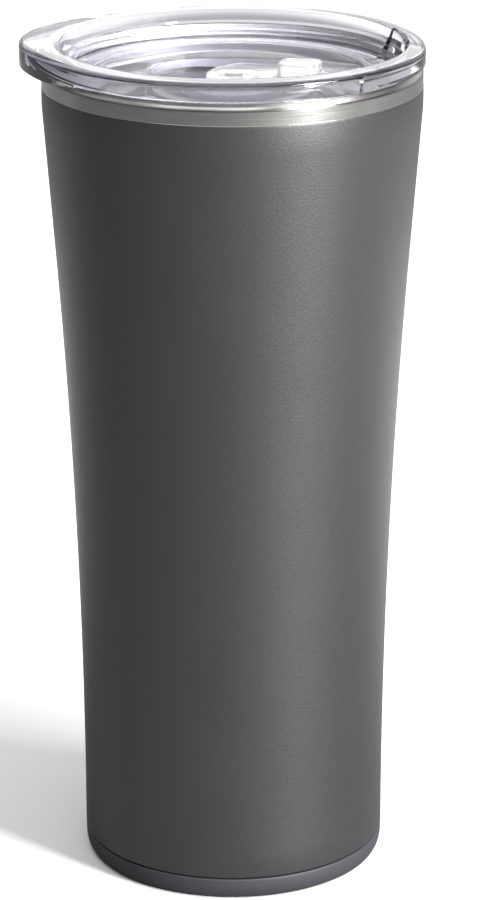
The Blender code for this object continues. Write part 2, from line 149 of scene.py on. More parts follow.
def make_turning_tree():
    """Sweeps a closed section round the axis, with a second finish above a masked line."""
    tree, start, end = new_tree("turned_wall", "GeometryNodeTree")
    socket(tree, "Section", "NodeSocketGeometry")
    socket(tree, "Hub radius", "NodeSocketFloat", 0.03)
    socket(tree, "Steps", "NodeSocketInt", TURN_STEPS)
    socket(tree, "Finish", "NodeSocketMaterial")
    socket(tree, "Finish above line", "NodeSocketMaterial")
    socket(tree, "Masked line", "NodeSocketFloat", 1.0)
    socket(tree, "Wall", "NodeSocketGeometry", out=True)
    node, link = tree.nodes.new, tree.links.new
    path = node("GeometryNodeCurvePrimitiveCircle")
    link(start.outputs["Steps"], path.inputs["Resolution"])
    link(start.outputs["Hub radius"], path.inputs["Radius"])
    section = node("GeometryNodeMeshToCurve")
    link(start.outputs["Section"], section.inputs["Mesh"])
    sweep = node("GeometryNodeCurveToMesh")
    link(path.outputs["Curve"], sweep.inputs["Curve"])
    link(section.outputs["Curve"], sweep.inputs["Profile Curve"])
    place = node("GeometryNodeInputPosition")
    height = node("ShaderNodeSeparateXYZ")
    link(place.outputs["Position"], height.inputs["Vector"])
    above = node("FunctionNodeCompare")
    above.data_type = "FLOAT"
    above.operation = "GREATER_THAN"
    link(height.outputs["Z"], above.inputs["A"])
    link(start.outputs["Masked line"], above.inputs["B"])
    smooth = node("GeometryNodeSetShadeSmooth")
    real = node("GeometryNodeRealizeInstances")
    finish = node("GeometryNodeSetMaterial")
    finish_above = node("GeometryNodeSetMaterial")
    link(sweep.outputs["Mesh"], smooth.inputs["Geometry"])
    link(smooth.outputs["Geometry"], real.inputs["Geometry"])
    link(real.outputs["Geometry"], finish.inputs["Geometry"])
    link(start.outputs["Finish"], finish.inputs["Material"])
    link(finish.outputs["Geometry"], finish_above.inputs["Geometry"])
    link(above.outputs["Result"], finish_above.inputs["Selection"])
    link(start.outputs["Finish above line"], finish_above.inputs["Material"])
    link(finish_above.outputs["Geometry"], end.inputs["Wall"])
    return tree


turning_tree = make_turning_tree()


def turned_wall(name, section, finish, finish_above=None, line=1.0):
    """A ring-shaped piece from its closed (radius, height) section."""
    hub = min(r for r, _ in section) * 0.5
    count = len(section)
    mesh = bpy.data.meshes.new(name)
    edges = [(i, (i + 1) % count) for i in range(count)]
    mesh.from_pydata([(r - hub, -z, 0) for r, z in section], edges, [])
    obj = mesh_object(name, mesh)
    values = {"Hub radius": hub, "Finish": finish, "Finish above line": finish_above or finish}
    set_inputs(obj, turning_tree, {**values, "Masked line": line})
    apply_modifiers(obj)
    mend(obj.data)
    return obj


def finished(obj, body, node):
    """Hangs a piece on the body it rides on and hides the CAD node it stands for."""
    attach(obj, body)
    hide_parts(node)


NOISE_LOW, NOISE_HIGH = 0.3, 0.7


def make_grain_group():
    """Fine pebbled grain: a bump height and a slow mottling, both 0 to 1."""
    tree, start, end = new_tree("fine_grain", "ShaderNodeTree")
    socket(tree, "Grain per metre", "NodeSocketFloat", 2500)
    socket(tree, "Mottling per metre", "NodeSocketFloat", 60)
    socket(tree, "Height", "NodeSocketFloat", out=True)
    socket(tree, "Mottling", "NodeSocketFloat", out=True)
    node, link = tree.nodes.new, tree.links.new
    place = node("ShaderNodeTexCoord")
    pebbles = node("ShaderNodeTexNoise")
    pebbles.inputs["Detail"].default_value = 2.0
    pebbles.inputs["Roughness"].default_value = 0.65
    mottling = node("ShaderNodeTexNoise")
    mottling.inputs["Detail"].default_value = 4.0
    link(place.outputs["Object"], pebbles.inputs["Vector"])
    link(place.outputs["Object"], mottling.inputs["Vector"])
    link(start.outputs["Grain per metre"], pebbles.inputs["Scale"])
    link(start.outputs["Mottling per metre"], mottling.inputs["Scale"])
    link(pebbles.outputs["Fac"], end.inputs["Height"])
    link(mottling.outputs["Fac"], end.inputs["Mottling"])
    return tree


def make_brushed_group():
    """Fine lines left by brushing round the axis: a bump height and a streak mask."""
    tree, start, end = new_tree("brushed_round_axis", "ShaderNodeTree")
    socket(tree, "Lines per metre", "NodeSocketFloat", 9000)
    socket(tree, "Streaks round", "NodeSocketFloat", 6)
    socket(tree, "Height", "NodeSocketFloat", out=True)
    socket(tree, "Streak", "NodeSocketFloat", out=True)
    node, link = tree.nodes.new, tree.links.new
    place = node("ShaderNodeTexCoord")
    axes = node("ShaderNodeSeparateXYZ")
    link(place.outputs["Object"], axes.inputs["Vector"])
    flat = node("ShaderNodeCombineXYZ")
    link(axes.outputs["X"], flat.inputs["X"])
    link(axes.outputs["Y"], flat.inputs["Y"])
    radius = node("ShaderNodeVectorMath")
    radius.operation = "LENGTH"
    link(flat.outputs["Vector"], radius.inputs[0])
    heading = node("ShaderNodeVectorMath")
    heading.operation = "NORMALIZE"
    link(flat.outputs["Vector"], heading.inputs[0])
    spread = node("ShaderNodeVectorMath")
    spread.operation = "SCALE"
    link(heading.outputs["Vector"], spread.inputs[0])
    link(start.outputs["Streaks round"], spread.inputs["Scale"])
    climb = node("ShaderNodeMath")
    climb.operation = "ADD"
    link(axes.outputs["Z"], climb.inputs[0])
    link(radius.outputs["Value"], climb.inputs[1])
    lines = node("ShaderNodeMath")
    lines.operation = "MULTIPLY"
    link(climb.outputs["Value"], lines.inputs[0])
    link(start.outputs["Lines per metre"], lines.inputs[1])
    lift = node("ShaderNodeCombineXYZ")
    link(lines.outputs["Value"], lift.inputs["Z"])
    where = node("ShaderNodeVectorMath")
    where.operation = "ADD"
    link(spread.outputs["Vector"], where.inputs[0])
    link(lift.outputs["Vector"], where.inputs[1])
    noise = node("ShaderNodeTexNoise")
    noise.inputs["Scale"].default_value = 1.0
    noise.inputs["Detail"].default_value = 3.0
    link(where.outputs["Vector"], noise.inputs["Vector"])
    link(noise.outputs["Fac"], end.inputs["Height"])
    link(noise.outputs["Fac"], end.inputs["Streak"])
    return tree


grain_group = make_grain_group()
brushed_group = make_brushed_group()


def new_material(name):
    """A material with only its Principled shader, and short ways to add nodes and links."""
    mat = bpy.data.materials.new(name)
    mat.use_nodes = True
    tree = mat.node_tree
    return mat, tree.nodes["Principled BSDF"], tree.nodes.new, tree.links.new


def group_node(node, tree, **values):
    """A shader group placed in a material with its own values."""
    placed = node("ShaderNodeGroup")
    placed.node_tree = tree
    for name, value in values.items():
        placed.inputs[name.replace("_", " ").capitalize()].default_value = value
    return placed


def ramp(node, link, source, low, high):
    """A mask turned into a colour between two, over the part of its range that noise fills."""
    made = node("ShaderNodeValToRGB")
    made.color_ramp.elements[0].position = NOISE_LOW
    made.color_ramp.elements[1].position = NOISE_HIGH
    made.color_ramp.elements[0].color = (*low, 1)
    made.color_ramp.elements[1].color = (*high, 1)
    link(source, made.inputs["Fac"])
    return made.outputs["Color"]


def spread(node, link, source, start, full, low, high, eased_ends=False):
    """A value read over a range and turned into one between low and high."""
    made = node("ShaderNodeMapRange")
    if eased_ends:
        made.interpolation_type = "SMOOTHSTEP"
    made.inputs["From Min"].default_value = start
    made.inputs["From Max"].default_value = full
    made.inputs["To Min"].default_value = low
    made.inputs["To Max"].default_value = high
    link(source, made.inputs["Value"])
    return made.outputs["Result"]


def between(node, link, source, low, high):
    """A noise mask turned into a value between two."""
    return spread(node, link, source, NOISE_LOW, NOISE_HIGH, low, high)


def bump(node, link, height, shader, depth):
    """Raises the surface by a height mask, up to a depth in metres."""
    made = node("ShaderNodeBump")
    made.inputs["Distance"].default_value = depth
    link(height, made.inputs["Height"])
    link(made.outputs["Normal"], shader.inputs["Normal"])


def grained_material(name, dark, light, roughness, grain, depth):
    """A coated or moulded surface with fine grain, slow mottling and uneven gloss."""
    mat, shader, node, link = new_material(name)
    pattern = group_node(node, grain_group, grain_per_metre=grain, mottling_per_metre=45)
    colour = ramp(node, link, pattern.outputs["Mottling"], dark, light)
    link(colour, shader.inputs["Base Color"])
    link(between(node, link, pattern.outputs["Height"], *roughness), shader.inputs["Roughness"])
    bump(node, link, pattern.outputs["Height"], shader, depth)
    return mat


def steel_material(name, dark, light, roughness, lines, depth):
    """Stainless steel brushed round the axis."""
    mat, shader, node, link = new_material(name)
    shader.inputs["Metallic"].default_value = 1.0
    pattern = group_node(node, brushed_group, lines_per_metre=lines, streaks_round=5)
    colour = ramp(node, link, pattern.outputs["Streak"], dark, light)
    link(colour, shader.inputs["Base Color"])
    link(between(node, link, pattern.outputs["Streak"], *roughness), shader.inputs["Roughness"])
    bump(node, link, pattern.outputs["Height"], shader, depth)
    return mat


powder_coat = grained_material(
    "grey_powder_coat", (0.011, 0.0115, 0.0125), (0.0135, 0.014, 0.0152), (0.37, 0.45), 2200, 0.000035
)
powder_coat.node_tree.nodes["Principled BSDF"].inputs["Specular IOR Level"].default_value = 1.0
bare_lip = steel_material(
    "bare_lip_steel", (0.34, 0.335, 0.32), (0.45, 0.44, 0.425), (0.17, 0.25), 7000, 0.000006
)


def shell_section():
    """Closed section of the shell: lip, bare band, paint step, flare, foot, inner face."""
    bare = LIP_RADIUS - PAINT_FILM
    bevel = [(LIP_BEVEL_WIDTH * share, LIP_BEVEL_HEIGHT * drop) for share, drop in LIP_BEVEL]
    points = [(bare - width, RIM_TOP - height) for width, height in bevel]
    points += [(bare, PAINT_LINE + PAINT_SUPPORT), (bare, PAINT_LINE + PAINT_EDGE_ABOVE)]
    points += [(LIP_RADIUS - PAINT_FILM * 0.3, PAINT_LINE)]
    points += [(LIP_RADIUS, PAINT_LINE - PAINT_EDGE_BELOW), (LIP_RADIUS, PAINT_LINE - PAINT_SUPPORT)]
    points += wall(FLARE_TOP, FLARE_START, OUTER_STEPS, 0)
    corner = (FOOT_RADIUS - SHELL_FOOT_ROUND, SHELL_FOOT + SHELL_FOOT_ROUND)
    points += arc(corner, SHELL_FOOT_ROUND, 0, -90, 4)
    points += [(FOOT_RADIUS - SHELL_WALL, SHELL_FOOT)]
    points += wall(FLARE_START, NECK_BOTTOM, INNER_STEPS, SHELL_WALL)
    points += [(LIP_RADIUS - LIP_WALL, NECK_TOP), (LIP_RADIUS - LIP_WALL, RIM_TOP - INNER_LIP_DROP)]
    return points


shell = turned_wall("cup_shell", shell_section(), powder_coat, bare_lip, PAINT_LINE)
shell.data.set_sharp_from_angle(angle=SHARP_STEEL)
finished(shell, "cup", "outer_shell")

# ---------------------------------------------------------------------------------------
# Inner liner. A thinner drawn tube of the same steel, welded to the shell round the lip and
# standing off it below, so that the space between holds a vacuum. Its bore is left satin.

LINER_WALL = 0.0005
VACUUM_GAP = 0.003
WELD_GAP = 0.0003
LINER_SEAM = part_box("inner_liner")[0].z
LIP_BORE = 0.0426
BORE_ROUND = 0.0003
LINER_STEPS = 40

liner_steel = steel_material(
    "liner_steel", (0.68, 0.67, 0.67), (0.74, 0.735, 0.735), (0.42, 0.5), 1500, 0.000004
)


def liner_section():
    """Closed section of the liner: lip, neck drawn in, wall, bore."""
    outer = LIP_RADIUS - LIP_WALL - WELD_GAP
    depth = SHELL_WALL + VACUUM_GAP
    points = [(outer, RIM_TOP - INNER_LIP_DROP), (outer, NECK_TOP)]
    points += wall(NECK_BOTTOM, LINER_SEAM, LINER_STEPS, depth)
    points += wall(LINER_SEAM, NECK_BOTTOM, LINER_STEPS, depth + LINER_WALL)
    points += [(LIP_BORE, NECK_TOP)]
    corner = (LIP_BORE + BORE_ROUND, RIM_TOP - INNER_LIP_DROP - BORE_ROUND)
    points += arc(corner, BORE_ROUND, 180, 90, 4)
    return points


liner = turned_wall("cup_liner", liner_section(), liner_steel)
finished(liner, "cup", "inner_liner")

# ---------------------------------------------------------------------------------------
# Cup floor. A dish pressed from the same sheet closes the liner. Its short upright edge is
# butt welded to the tube's foot, and the inside is left as satin as the bore.

FLOOR_LOW, FLOOR_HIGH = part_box("inner_bottom")
FLOOR_STEEL = 0.0006
FLOOR_CORNER = 0.004
FLOOR_SUPPORT = 0.4
FLOOR_BEND_FOOT, FLOOR_BEND_STEPS = -80, 10
AXIS_MERGE = 0.00001


def turned_solid(name, outline, mat, steps=TURN_STEPS):
    """A piece that reaches the axis, from an outline run from its top centre to its bottom one."""
    mesh = bpy.data.meshes.new(name)
    edges = [(i, i + 1) for i in range(len(outline) - 1)]
    mesh.from_pydata([(r, 0, z) for r, z in outline], edges, [])
    obj = mesh_object(name, mesh)
    screw = obj.modifiers.new("turn", "SCREW")
    screw.steps = steps
    screw.render_steps = steps
    screw.use_merge_vertices = True
    screw.merge_threshold = AXIS_MERGE
    apply_modifiers(obj)
    mend(obj.data)
    obj.data.materials.append(mat)
    obj.data.shade_smooth()
    return obj


def cup_floor_outline():
    """The dish: flat floor, round corner, short upright edge, and the same below."""
    outer = FLOOR_HIGH.x
    inner = outer - LINER_WALL
    top = FLOOR_LOW.z + FLOOR_STEEL
    bend = FLOOR_CORNER - LINER_WALL
    outline = [(0, top), (inner * FLOOR_SUPPORT, top), (inner - bend, top)]
    outline += arc((inner - bend, top + bend), bend, FLOOR_BEND_FOOT, 0, FLOOR_BEND_STEPS)
    outline += [(inner, FLOOR_HIGH.z), (outer, FLOOR_HIGH.z)]
    centre = (outer - FLOOR_CORNER, top + bend)
    outline += arc(centre, FLOOR_CORNER, 0, FLOOR_BEND_FOOT, FLOOR_BEND_STEPS)
    outline += [(outer - FLOOR_CORNER, FLOOR_LOW.z), (0, FLOOR_LOW.z)]
    return outline


floor_dish = turned_solid("cup_floor", cup_floor_outline(), liner_steel)
finished(floor_dish, "cup", "inner_bottom")

# ---------------------------------------------------------------------------------------
# Weld bead. The shell and the liner are fused round the top of the lip by a pulsed weld,
# which leaves a low rippled bead in the seam. The lid hides it until it is lifted.

BEAD_RADIUS = 0.00022
BEAD_RIPPLES = 150
BEAD_STEPS = 4
BEAD_SWELL = 0.08
BEAD_SIDES = 8
BEAD_DEPTH = BEAD_RADIUS * 1.1


def make_bead_tree():
    """A round bead along a circle, swelling and shrinking with each weld pulse."""
    tree, start, end = new_tree("weld_bead", "GeometryNodeTree")
    socket(tree, "Seam radius", "NodeSocketFloat", 0.04)
    socket(tree, "Seam height", "NodeSocketFloat", 0.1)
    socket(tree, "Bead radius", "NodeSocketFloat", BEAD_RADIUS)
    socket(tree, "Ripples", "NodeSocketInt", BEAD_RIPPLES)
    socket(tree, "Finish", "NodeSocketMaterial")
    socket(tree, "Bead", "NodeSocketGeometry", out=True)
    node, link = tree.nodes.new, tree.links.new
    points = node("ShaderNodeMath")
    points.operation = "MULTIPLY"
    points.inputs[1].default_value = BEAD_STEPS
    link(start.outputs["Ripples"], points.inputs[0])
    path = node("GeometryNodeCurvePrimitiveCircle")
    link(points.outputs["Value"], path.inputs["Resolution"])
    link(start.outputs["Seam radius"], path.inputs["Radius"])
    lift = node("ShaderNodeCombineXYZ")
    link(start.outputs["Seam height"], lift.inputs["Z"])
    raised = node("GeometryNodeSetPosition")
    link(path.outputs["Curve"], raised.inputs["Geometry"])
    link(lift.outputs["Vector"], raised.inputs["Offset"])
    index = node("GeometryNodeInputIndex")
    pulse = node("ShaderNodeMath")
    pulse.operation = "MULTIPLY"
    pulse.inputs[1].default_value = 2 * pi / BEAD_STEPS
    link(index.outputs["Index"], pulse.inputs[0])
    wave = node("ShaderNodeMath")
    wave.operation = "SINE"
    link(pulse.outputs["Value"], wave.inputs[0])
    swell = node("ShaderNodeMath")
    swell.operation = "MULTIPLY_ADD"
    swell.inputs[1].default_value = BEAD_SWELL
    swell.inputs[2].default_value = 1 - BEAD_SWELL
    link(wave.outputs["Value"], swell.inputs[0])
    size = node("GeometryNodeSetCurveRadius")
    link(raised.outputs["Geometry"], size.inputs["Curve"])
    link(swell.outputs["Value"], size.inputs["Radius"])
    ring = node("GeometryNodeCurvePrimitiveCircle")
    ring.inputs["Resolution"].default_value = BEAD_SIDES
    link(start.outputs["Bead radius"], ring.inputs["Radius"])
    sweep = node("GeometryNodeCurveToMesh")
    link(size.outputs["Curve"], sweep.inputs["Curve"])
    link(ring.outputs["Curve"], sweep.inputs["Profile Curve"])
    radius = node("GeometryNodeInputRadius")
    link(radius.outputs["Radius"], sweep.inputs["Scale"])
    smooth = node("GeometryNodeSetShadeSmooth")
    real = node("GeometryNodeRealizeInstances")
    finish = node("GeometryNodeSetMaterial")
    link(sweep.outputs["Mesh"], smooth.inputs["Geometry"])
    link(smooth.outputs["Geometry"], real.inputs["Geometry"])
    link(real.outputs["Geometry"], finish.inputs["Geometry"])
    link(start.outputs["Finish"], finish.inputs["Material"])
    link(finish.outputs["Geometry"], end.inputs["Bead"])
    return tree


bead = mesh_object("lip_weld", bpy.data.meshes.new("lip_weld"))
seam = LIP_RADIUS - LIP_WALL - WELD_GAP / 2
bead_inputs = {"Seam radius": seam, "Seam height": RIM_TOP - BEAD_DEPTH, "Finish": bare_lip}
set_inputs(bead, make_bead_tree(), bead_inputs)
apply_modifiers(bead)
mend(bead.data)
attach(bead, "cup")

# ---------------------------------------------------------------------------------------
# The closed foot. A plate is welded into the shell, the air is drawn out through its
# centre, and a solder bead seals the hole. A getter pill under a spring strap keeps the
# vacuum. None of it shows on a whole cup, so the plain solids stay, with their own metals.

plate_steel = steel_material(
    "plate_steel", (0.42, 0.42, 0.41), (0.52, 0.52, 0.51), (0.34, 0.46), 2600, 0.00001
)
clip_steel = steel_material(
    "clip_steel", (0.5, 0.5, 0.49), (0.58, 0.58, 0.57), (0.26, 0.36), 4200, 0.000006
)
solder = grained_material("solder", (0.5, 0.5, 0.51), (0.6, 0.6, 0.61), (0.28, 0.42), 900, 0.00004)
solder.node_tree.nodes["Principled BSDF"].inputs["Metallic"].default_value = 1.0
getter_metal = grained_material(
    "getter_metal", (0.13, 0.13, 0.14), (0.19, 0.19, 0.2), (0.6, 0.8), 3500, 0.00005
)
getter_metal.node_tree.nodes["Principled BSDF"].inputs["Metallic"].default_value = 0.7


def refinish(node, mat):
    """Gives a CAD node its own metal."""
    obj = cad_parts[node]
    obj.data.materials.clear()
    obj.data.materials.append(mat)


refinish("vacuum_bottom", plate_steel)
refinish("getter_clip", clip_steel)
refinish("vacuum_seal", solder)
refinish("getter", getter_metal)

# ---------------------------------------------------------------------------------------
# Base pad. A moulded rubber tray glued under the foot, in the body's own grey, rounded at
# its lower edge. Rings of low pips in a shallow channel underneath keep it from slipping.

PAD_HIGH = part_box("base_pad")[1]
PAD_FLAT_RADIUS = 0.0347
PAD_TRAY_RADIUS = 0.0335
PAD_THICKNESS = 0.0028
PAD_SIDE = 0.0012
PAD_EDGE = 0.0003
PAD_BEND_STEPS = 12
PIP_CHANNEL = (0.0215, 0.0295)
PIP_CHANNEL_SLOPE = 0.0003
PIP_DEPTH = 0.0005
PIP_RADIUS, PIP_TAPER, PIP_SIDES = 0.0005, 0.7, 10
PIP_RINGS = ((0.0232, 84), (0.0255, 92), (0.0278, 100))

base_rubber = grained_material(
    "base_rubber", (0.03, 0.031, 0.036), (0.034, 0.035, 0.041), (0.5, 0.62), 1900, 0.000015
)


def pad_outline():
    """Half section of the pad: tray, upstand, rounded side, flat foot with the pip channel."""
    side = PAD_HIGH.x
    bend = side - PAD_FLAT_RADIUS
    straight = PAD_HIGH.z - PAD_SIDE
    outline = [(0, PAD_THICKNESS), (PAD_TRAY_RADIUS, PAD_THICKNESS), (PAD_TRAY_RADIUS, PAD_HIGH.z)]
    outline += arc((side - PAD_EDGE, PAD_HIGH.z - PAD_EDGE), PAD_EDGE, 90, 0, 5)
    turns = [radians(90 * i / PAD_BEND_STEPS) for i in range(PAD_BEND_STEPS + 1)]
    outline += [(side - bend * (1 - cos(a)), straight * (1 - sin(a))) for a in turns]
    inner, outer = PIP_CHANNEL
    outline += [(outer, 0), (outer - PIP_CHANNEL_SLOPE, PIP_DEPTH)]
    outline += [(inner + PIP_CHANNEL_SLOPE, PIP_DEPTH), (inner, 0), (0, 0)]
    return outline


pad = turned_solid("base_cover", pad_outline(), base_rubber)
pad.data.set_sharp_from_angle(angle=SHARP_STEEL)
finished(pad, "cup", "base_pad")


def make_pip_tree():
    """Low round pips, evenly spaced on a circle, standing down from the channel's floor."""
    tree, start, end = new_tree("pip_ring", "GeometryNodeTree")
    socket(tree, "Ring radius", "NodeSocketFloat", 0.02)
    socket(tree, "Count", "NodeSocketInt", 80)
    socket(tree, "Pip radius", "NodeSocketFloat", PIP_RADIUS)
    socket(tree, "Pip height", "NodeSocketFloat", PIP_DEPTH)
    socket(tree, "Finish", "NodeSocketMaterial")
    socket(tree, "Pips", "NodeSocketGeometry", out=True)
    node, link = tree.nodes.new, tree.links.new
    ring = node("GeometryNodeCurvePrimitiveCircle")
    link(start.outputs["Count"], ring.inputs["Resolution"])
    link(start.outputs["Ring radius"], ring.inputs["Radius"])
    pip = node("GeometryNodeMeshCone")
    pip.inputs["Vertices"].default_value = PIP_SIDES
    link(start.outputs["Pip radius"], pip.inputs["Radius Bottom"])
    small = node("ShaderNodeMath")
    small.operation = "MULTIPLY"
    small.inputs[1].default_value = PIP_TAPER
    link(start.outputs["Pip radius"], small.inputs[0])
    link(small.outputs["Value"], pip.inputs["Radius Top"])
    link(start.outputs["Pip height"], pip.inputs["Depth"])
    turn = node("GeometryNodeTransform")
    turn.inputs["Rotation"].default_value = (pi, 0, 0)
    link(pip.outputs["Mesh"], turn.inputs["Geometry"])
    lift = node("ShaderNodeCombineXYZ")
    link(start.outputs["Pip height"], lift.inputs["Z"])
    link(lift.outputs["Vector"], turn.inputs["Translation"])
    place = node("GeometryNodeInstanceOnPoints")
    link(ring.outputs["Curve"], place.inputs["Points"])
    link(turn.outputs["Geometry"], place.inputs["Instance"])
    real = node("GeometryNodeRealizeInstances")
    finish = node("GeometryNodeSetMaterial")
    link(place.outputs["Instances"], real.inputs["Geometry"])
    link(real.outputs["Geometry"], finish.inputs["Geometry"])
    link(start.outputs["Finish"], finish.inputs["Material"])
    link(finish.outputs["Geometry"], end.inputs["Pips"])
    return tree


pip_tree = make_pip_tree()
for number, (ring_radius, count) in enumerate(PIP_RINGS, 1):
    pips = mesh_object(f"base_pips_{number}", bpy.data.meshes.new("pips"))
    set_inputs(pips, pip_tree, {"Ring radius": ring_radius, "Count": count, "Finish": base_rubber})
    apply_modifiers(pips)
    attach(pips, "cup")

# ---------------------------------------------------------------------------------------
# Lid. One clear, faintly violet moulding: a thick flange with a lift tab, a sunk well with a
# round track for the slider, and a plug with a gasket groove. The well's wall is scooped
# outward on the drinking side. It presses into the cup's mouth.

LID_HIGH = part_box("lid_body")[1]
LID_TOP = LID_HIGH.z
LID_FLOOR = 0.1944
LID_FLOOR_WALL = 0.0022
FLANGE_RADIUS = LID_HIGH.x
FLANGE_BOTTOM = 0.1968
FLANGE_ROUND = 0.0014
FLANGE_EDGE_INSET = 0.00003
SHOULDER_DROP = 0.0004
WELL_TOP_RADIUS, WELL_RIM_ROUND, WELL_RIM_OUT = 0.0403, 0.0005, 0.0001
WELL_CORNER_CENTRE, WELL_CORNER = 0.0352, 0.0026
FLOOR_FLAT_RADIUS = 0.02
PLUG_RADIUS, PLUG_BOTTOM = 0.0419, 0.189
PLUG_FILLET = 0.0003
PLUG_CHAMFER_WIDTH, PLUG_CHAMFER_HEIGHT = 0.0005, 0.001
SKIRT_INNER_RADIUS = 0.0396
SKIRT_FOOT_INSET, SKIRT_CORNER_INSET, SKIRT_CORNER_RISE = 0.0003, 0.0011, 0.0008
TAB_REACH = 0.0056
TAB_SPREAD = radians(18.5)
TAB_DROP = 0.0016
TAB_DROP_START, TAB_DROP_FULL = radians(58), radians(30)
TAB_INNER_RADIUS, TAB_EDGE = 0.0447, 0.0001
TAB_WALL_LEAN = 0.00006
GROOVE_RADIUS = 0.0404
GROOVE_BOTTOM, GROOVE_TOP = 0.1932, 0.1956
SPOUT_HALF_ANGLE = radians(33)
SPOUT_FOOT_RADIUS, SPOUT_TOP_RADIUS = 0.0388, 0.0411
SPOUT_INNER_RADIUS, SPOUT_SINK, SPOUT_OVER = 0.0325, 0.0001, 0.002
SPOUT_STEPS = 36
TRACK_HALF_WIDTH = 0.0115
TRACK_END_X = -0.0073
TRACK_REACH = 0.0375
TRACK_FLOOR = 0.1914
TRACK_WALL, TRACK_SIDE_WALL = 0.0018, 0.0016
TRACK_FOOT_ROUND, TRACK_TOP_ROUND = 0.0004, 0.0003
SLOT_HALF_WIDTH, SLOT_CORNER, SLOT_SLACK = 0.0018, 0.0005, 0.0006
SLIDE_TRAVEL = 0.01
STEM_X, STEM_LENGTH = 0.0005, 0.0036
DRINK_HOLE_X, DRINK_HOLE_LENGTH, DRINK_HOLE_WIDTH = 0.0314, 0.0078, 0.013
DRINK_HOLE_CORNER, DRINK_HOLE_ROUND = 0.002, 0.0003
CUT_OVER = 0.001
SHARP_PLASTIC = radians(32)
FACES_DOWN = -0.7

# A shallow ring pressed into the well's floor, as radii and shares of its depth.
FLOOR_RING_DEPTH = 0.0003
FLOOR_RING = ((0.03035, 0), (0.0306, 0.5), (0.0309, 1), (0.0327, 1), (0.033, 0.5), (0.0333, 0))

# The scooped side's rounded foot, as insets from its foot radius and heights over the floor,
# and its lip, as steps out from its top radius and heights over the lid's top.
SPOUT_FOOT = ((0.0012, -0.0001), (0.0004, 0.0003), (0, 0.0012))
SPOUT_LIP = ((-0.0006, -0.0008), (0, 0), (0.0002, 0.002))

# The rounded underside of the track's tub: height above its foot, inset from its side.
TUB_FOOT = ((0, 0.0006), (0.0002, 0.0002), (0.0006, 0))


def clear_material(name, tint, roughness, absorb, density, shadow, clarity=1.0):
    """Clear plastic that takes its tint from its thickness and lets lamps through."""
    mat, shader, node, link = new_material(name)
    shader.inputs["Base Color"].default_value = (*tint, 1)
    shader.inputs["Transmission Weight"].default_value = clarity
    shader.inputs["IOR"].default_value = 1.52
    pattern = group_node(node, grain_group, grain_per_metre=160, mottling_per_metre=60)
    link(between(node, link, pattern.outputs["Mottling"], *roughness), shader.inputs["Roughness"])
    bump(node, link, pattern.outputs["Height"], shader, 0.000004)
    out = mat.node_tree.nodes["Material Output"]
    through = node("ShaderNodeBsdfTransparent")
    through.inputs["Color"].default_value = (*shadow, 1)
    rays = node("ShaderNodeLightPath")
    mix = node("ShaderNodeMixShader")
    link(rays.outputs["Is Shadow Ray"], mix.inputs["Fac"])
    link(shader.outputs["BSDF"], mix.inputs[1])
    link(through.outputs["BSDF"], mix.inputs[2])
    link(mix.outputs["Shader"], out.inputs["Surface"])
    tinting = node("ShaderNodeVolumeAbsorption")
    tinting.inputs["Color"].default_value = (*absorb, 1)
    tinting.inputs["Density"].default_value = density
    link(tinting.outputs["Volume"], out.inputs["Volume"])
    return mat


clear_plastic = clear_material(
    "clear_plastic", (0.97, 0.97, 0.985), (0.01, 0.04), (0.68, 0.67, 0.76), 50, (0.93, 0.93, 0.95)
)
satin_plastic = clear_material(
    "satin_clear_plastic", (0.97, 0.97, 0.985), (0.32, 0.4), (0.68, 0.67, 0.76), 50, (0.93, 0.93, 0.95)
)


def lid_outline():
    """Half section: floor with its pressed ring, well wall, rim, flange, plug, underside."""
    points = [(0, LID_FLOOR), (FLOOR_FLAT_RADIUS, LID_FLOOR)]
    points += [(radius, LID_FLOOR - FLOOR_RING_DEPTH * share) for radius, share in FLOOR_RING]
    points += arc((WELL_CORNER_CENTRE, LID_FLOOR + WELL_CORNER), WELL_CORNER, -84, -8, 10)
    rim = WELL_RIM_ROUND
    points += [(WELL_TOP_RADIUS - rim * 1.15, LID_TOP - rim * 2.2)]
    points += arc((WELL_TOP_RADIUS + WELL_RIM_OUT, LID_TOP - rim), rim, 165, 96, 8)
    shoulder = (FLANGE_RADIUS - FLANGE_ROUND, LID_TOP - SHOULDER_DROP - FLANGE_ROUND)
    points += arc(shoulder, FLANGE_ROUND, 86, 0, 14)
    points += [(FLANGE_RADIUS, FLANGE_BOTTOM + TAB_EDGE)]
    points += [(FLANGE_RADIUS - FLANGE_EDGE_INSET, FLANGE_BOTTOM)]
    points += [(TAB_INNER_RADIUS + TAB_WALL_LEAN, FLANGE_BOTTOM), (TAB_INNER_RADIUS, FLANGE_BOTTOM)]
    points += [(PLUG_RADIUS + PLUG_FILLET, FLANGE_BOTTOM), (PLUG_RADIUS, FLANGE_BOTTOM - PLUG_FILLET)]
    points += [(PLUG_RADIUS, GROOVE_TOP), (GROOVE_RADIUS, GROOVE_TOP)]
    points += [(GROOVE_RADIUS, GROOVE_BOTTOM), (PLUG_RADIUS, GROOVE_BOTTOM)]
    points += [(PLUG_RADIUS, PLUG_BOTTOM + PLUG_CHAMFER_HEIGHT)]
    points += [(PLUG_RADIUS - PLUG_CHAMFER_WIDTH, PLUG_BOTTOM), (SKIRT_INNER_RADIUS, PLUG_BOTTOM)]
    under = LID_FLOOR - LID_FLOOR_WALL
    points += [(SKIRT_INNER_RADIUS - SKIRT_FOOT_INSET, under + SKIRT_CORNER_RISE)]
    points += [(SKIRT_INNER_RADIUS - SKIRT_CORNER_INSET, under), (0, under)]
    return points


